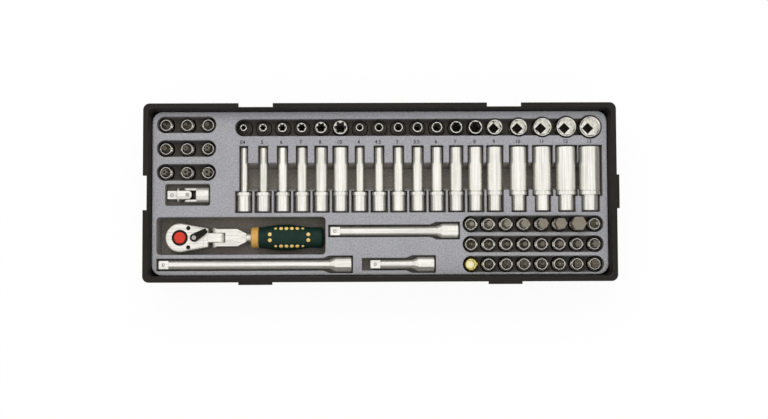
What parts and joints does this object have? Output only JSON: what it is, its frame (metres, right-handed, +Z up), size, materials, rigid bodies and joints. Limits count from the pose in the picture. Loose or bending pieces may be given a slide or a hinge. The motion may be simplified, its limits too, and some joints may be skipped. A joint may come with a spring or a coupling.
{
  "type": "socket wrench set in tray",
  "caption": "Open tray with a moulded insert holding a flex-head ratchet, universal joint, extension bars, short and deep sockets and bit sockets.",
  "frame": {"origin": "middle of the tray's flat base, under the walls' centre", "axes": "+X along the tray towards the largest sockets, +Y towards the socket rows, +Z up"},
  "size_m": [0.367, 0.1402, 0.045],
  "materials": {
    "tray": "fine matt texture",
    "insert": "flocked moulded insert",
    "chrome": "satin chrome plate",
    "bit_steel": "bead-blasted steel",
    "dark_steel": "blackened steel",
    "grip": "soft-touch grip",
    "ferrule": "moulded plastic",
    "button": "gloss plastic",
    "brass": "brass plate"
  },
  "bodies": {
    "case": {"tray_shell": "tray", "tool_insert": "insert"},
    "short_star_sockets": {"short_star_sockets": "chrome"},
    "short_socket_4": {"short_socket_4": "chrome"},
    "short_socket_4_5": {"short_socket_4_5": "chrome"},
    "short_socket_5": {"short_socket_5": "chrome"},
    "short_socket_5_5": {"short_socket_5_5": "chrome"},
    "short_socket_6": {"short_socket_6": "chrome"},
    "short_socket_7": {"short_socket_7": "chrome"},
    "short_socket_8": {"short_socket_8": "chrome"},
    "short_socket_9": {"short_socket_9": "chrome"},
    "short_socket_10": {"short_socket_10": "chrome"},
    "short_socket_11": {"short_socket_11": "chrome"},
    "short_socket_12": {"short_socket_12": "chrome"},
    "short_socket_13": {"short_socket_13": "chrome"},
    "deep_star_sockets": {"deep_star_sockets": "chrome"},
    "deep_socket_4": {"deep_socket_4": "chrome"},
    "deep_socket_4_5": {"deep_socket_4_5": "chrome"},
    "deep_socket_5": {"deep_socket_5": "chrome"},
    "deep_socket_5_5": {"deep_socket_5_5": "chrome"},
    "deep_socket_6": {"deep_socket_6": "chrome"},
    "deep_socket_7": {"deep_socket_7": "chrome"},
    "deep_socket_8": {"deep_socket_8": "chrome"},
    "deep_socket_9": {"deep_socket_9": "chrome"},
    "deep_socket_10": {"deep_socket_10": "chrome"},
    "deep_socket_11": {"deep_socket_11": "chrome"},
    "deep_socket_12": {"deep_socket_12": "chrome"},
    "deep_socket_13": {"deep_socket_13": "chrome"},
    "hex_bit_set": {"hex_bit_sockets": "chrome", "hex_bits": "bit_steel"},
    "star_bit_set": {"star_bit_sockets": "chrome", "star_bits": "bit_steel"},
    "screw_bit_set": {"screw_bit_sockets": "chrome", "screw_bits": "bit_steel"},
    "security_bit_set": {"security_bit_sockets": "chrome", "security_bits": "bit_steel"},
    "bit_adapter": {"bit_adapter": "brass"},
    "extension_50": {"extension_50": "chrome"},
    "extension_100": {"extension_100": "chrome"},
    "extension_150": {"extension_150": "chrome"},
    "ratchet_handle": {"flex_fork": "chrome", "flex_pin": "bit_steel", "flex_detent": "bit_steel", "handle_ferrule": "ferrule", "handle_grip": "grip"},
    "joint_socket_end": {"joint_socket_end": "chrome"},
    "ratchet_head": {"ratchet_head": "chrome", "head_cover": "chrome", "cover_screws": "dark_steel", "pawl_spring": "bit_steel"},
    "ratchet_drive": {"drive_gear": "dark_steel", "button_spring": "bit_steel"},
    "release_button": {"release_button": "button"},
    "drive_ball": {"drive_detent_ball": "bit_steel"},
    "reversing_lever": {"reversing_lever": "dark_steel"},
    "pawl": {"pawl": "dark_steel"},
    "joint_cross": {"joint_cross": "dark_steel", "joint_pins": "bit_steel"},
    "joint_drive_end": {"joint_drive_end": "chrome"}
  },
  "joints": [
    {"name": "lift_short_star_sockets", "type": "slide", "parent": "case", "child": "short_star_sockets", "axis": [0, 0, 1], "range_m": [0, 0.05]},
    {"name": "lift_short_socket_4", "type": "slide", "parent": "case", "child": "short_socket_4", "axis": [0, 0, 1], "range_m": [0, 0.05]},
    {"name": "lift_short_socket_4_5", "type": "slide", "parent": "case", "child": "short_socket_4_5", "axis": [0, 0, 1], "range_m": [0, 0.05]},
    {"name": "lift_short_socket_5", "type": "slide", "parent": "case", "child": "short_socket_5", "axis": [0, 0, 1], "range_m": [0, 0.05]},
    {"name": "lift_short_socket_5_5", "type": "slide", "parent": "case", "child": "short_socket_5_5", "axis": [0, 0, 1], "range_m": [0, 0.05]},
    {"name": "lift_short_socket_6", "type": "slide", "parent": "case", "child": "short_socket_6", "axis": [0, 0, 1], "range_m": [0, 0.05]},
    {"name": "lift_short_socket_7", "type": "slide", "parent": "case", "child": "short_socket_7", "axis": [0, 0, 1], "range_m": [0, 0.05]},
    {"name": "lift_short_socket_8", "type": "slide", "parent": "case", "child": "short_socket_8", "axis": [0, 0, 1], "range_m": [0, 0.05]},
    {"name": "lift_short_socket_9", "type": "slide", "parent": "case", "child": "short_socket_9", "axis": [0, 0, 1], "range_m": [0, 0.05]},
    {"name": "lift_short_socket_10", "type": "slide", "parent": "case", "child": "short_socket_10", "axis": [0, 0, 1], "range_m": [0, 0.05]},
    {"name": "lift_short_socket_11", "type": "slide", "parent": "case", "child": "short_socket_11", "axis": [0, 0, 1], "range_m": [0, 0.05]},
    {"name": "lift_short_socket_12", "type": "slide", "parent": "case", "child": "short_socket_12", "axis": [0, 0, 1], "range_m": [0, 0.05]},
    {"name": "lift_short_socket_13", "type": "slide", "parent": "case", "child": "short_socket_13", "axis": [0, 0, 1], "range_m": [0, 0.05]},
    {"name": "lift_deep_star_sockets", "type": "slide", "parent": "case", "child": "deep_star_sockets", "axis": [0, 0, 1], "range_m": [0, 0.05]},
    {"name": "lift_deep_socket_4", "type": "slide", "parent": "case", "child": "deep_socket_4", "axis": [0, 0, 1], "range_m": [0, 0.05]},
    {"name": "lift_deep_socket_4_5", "type": "slide", "parent": "case", "child": "deep_socket_4_5", "axis": [0, 0, 1], "range_m": [0, 0.05]},
    {"name": "lift_deep_socket_5", "type": "slide", "parent": "case", "child": "deep_socket_5", "axis": [0, 0, 1], "range_m": [0, 0.05]},
    {"name": "lift_deep_socket_5_5", "type": "slide", "parent": "case", "child": "deep_socket_5_5", "axis": [0, 0, 1], "range_m": [0, 0.05]},
    {"name": "lift_deep_socket_6", "type": "slide", "parent": "case", "child": "deep_socket_6", "axis": [0, 0, 1], "range_m": [0, 0.05]},
    {"name": "lift_deep_socket_7", "type": "slide", "parent": "case", "child": "deep_socket_7", "axis": [0, 0, 1], "range_m": [0, 0.05]},
    {"name": "lift_deep_socket_8", "type": "slide", "parent": "case", "child": "deep_socket_8", "axis": [0, 0, 1], "range_m": [0, 0.05]},
    {"name": "lift_deep_socket_9", "type": "slide", "parent": "case", "child": "deep_socket_9", "axis": [0, 0, 1], "range_m": [0, 0.05]},
    {"name": "lift_deep_socket_10", "type": "slide", "parent": "case", "child": "deep_socket_10", "axis": [0, 0, 1], "range_m": [0, 0.05]},
    {"name": "lift_deep_socket_11", "type": "slide", "parent": "case", "child": "deep_socket_11", "axis": [0, 0, 1], "range_m": [0, 0.05]},
    {"name": "lift_deep_socket_12", "type": "slide", "parent": "case", "child": "deep_socket_12", "axis": [0, 0, 1], "range_m": [0, 0.05]},
    {"name": "lift_deep_socket_13", "type": "slide", "parent": "case", "child": "deep_socket_13", "axis": [0, 0, 1], "range_m": [0, 0.05]},
    {"name": "lift_hex_bit_set", "type": "slide", "parent": "case", "child": "hex_bit_set", "axis": [0, 0, 1], "range_m": [0, 0.05]},
    {"name": "lift_star_bit_set", "type": "slide", "parent": "case", "child": "star_bit_set", "axis": [0, 0, 1], "range_m": [0, 0.05]},
    {"name": "lift_screw_bit_set", "type": "slide", "parent": "case", "child": "screw_bit_set", "axis": [0, 0, 1], "range_m": [0, 0.05]},
    {"name": "lift_security_bit_set", "type": "slide", "parent": "case", "child": "security_bit_set", "axis": [0, 0, 1], "range_m": [0, 0.05]},
    {"name": "lift_bit_adapter", "type": "slide", "parent": "case", "child": "bit_adapter", "axis": [0, 0, 1], "range_m": [0, 0.05]},
    {"name": "lift_extension_50", "type": "slide", "parent": "case", "child": "extension_50", "axis": [0, 0, 1], "range_m": [0, 0.05]},
    {"name": "lift_extension_100", "type": "slide", "parent": "case", "child": "extension_100", "axis": [0, 0, 1], "range_m": [0, 0.05]},
    {"name": "lift_extension_150", "type": "slide", "parent": "case", "child": "extension_150", "axis": [0, 0, 1], "range_m": [0, 0.05]},
    {"name": "lift_ratchet_handle", "type": "slide", "parent": "case", "child": "ratchet_handle", "axis": [0, 0, 1], "range_m": [0, 0.05]},
    {"name": "lift_joint_socket_end", "type": "slide", "parent": "case", "child": "joint_socket_end", "axis": [0, 0, 1], "range_m": [0, 0.05]},
    {"name": "head_flex", "type": "hinge", "parent": "ratchet_handle", "child": "ratchet_head", "pos_m": [-0.1262, -0.03426, 0.025], "axis": [0, 1, 0], "range_deg": [0, 90]},
    {"name": "drive_spin", "type": "hinge", "parent": "ratchet_head", "child": "ratchet_drive", "pos_m": [-0.1562, -0.03426, 0.025], "axis": [0, 0, 1], "continuous": true},
    {"name": "button_press", "type": "slide", "parent": "ratchet_drive", "child": "release_button", "axis": [0, 0, -1], "range_m": [0, 0.002], "stiffness_N_per_m": 500, "springref_m": -0.002, "deforming": ["button_spring"]},
    {"name": "ball_retract", "type": "slide", "parent": "ratchet_drive", "child": "drive_ball", "axis": [1, 0, 0], "range_m": [0, 0.0005]},
    {"name": "lever_turn", "type": "hinge", "parent": "ratchet_head", "child": "reversing_lever", "pos_m": [-0.1448, -0.03426, 0.025], "axis": [0, 0, 1], "range_deg": [-61.2, 0]},
    {"name": "pawl_rock", "type": "hinge", "parent": "ratchet_head", "child": "pawl", "pos_m": [-0.1448, -0.03426, 0.025], "axis": [0, 0, 1], "range_deg": [-12.05, 0]},
    {"name": "joint_fold", "type": "hinge", "parent": "joint_socket_end", "child": "joint_cross", "pos_m": [-0.1496, -0.00104, 0.03], "axis": [0, 1, 0], "range_deg": [0, 40]},
    {"name": "joint_swing", "type": "hinge", "parent": "joint_cross", "child": "joint_drive_end", "pos_m": [-0.1496, -0.00104, 0.03], "axis": [0, 0, 1], "range_deg": [-15, 15]}
  ],
  "couplings": [
    {"joint": "ball_retract", "follows": "button_press", "ratio": 0.25},
    {"joint": "pawl_rock", "follows": "lever_turn", "ratio": 0.1961}
  ]
}
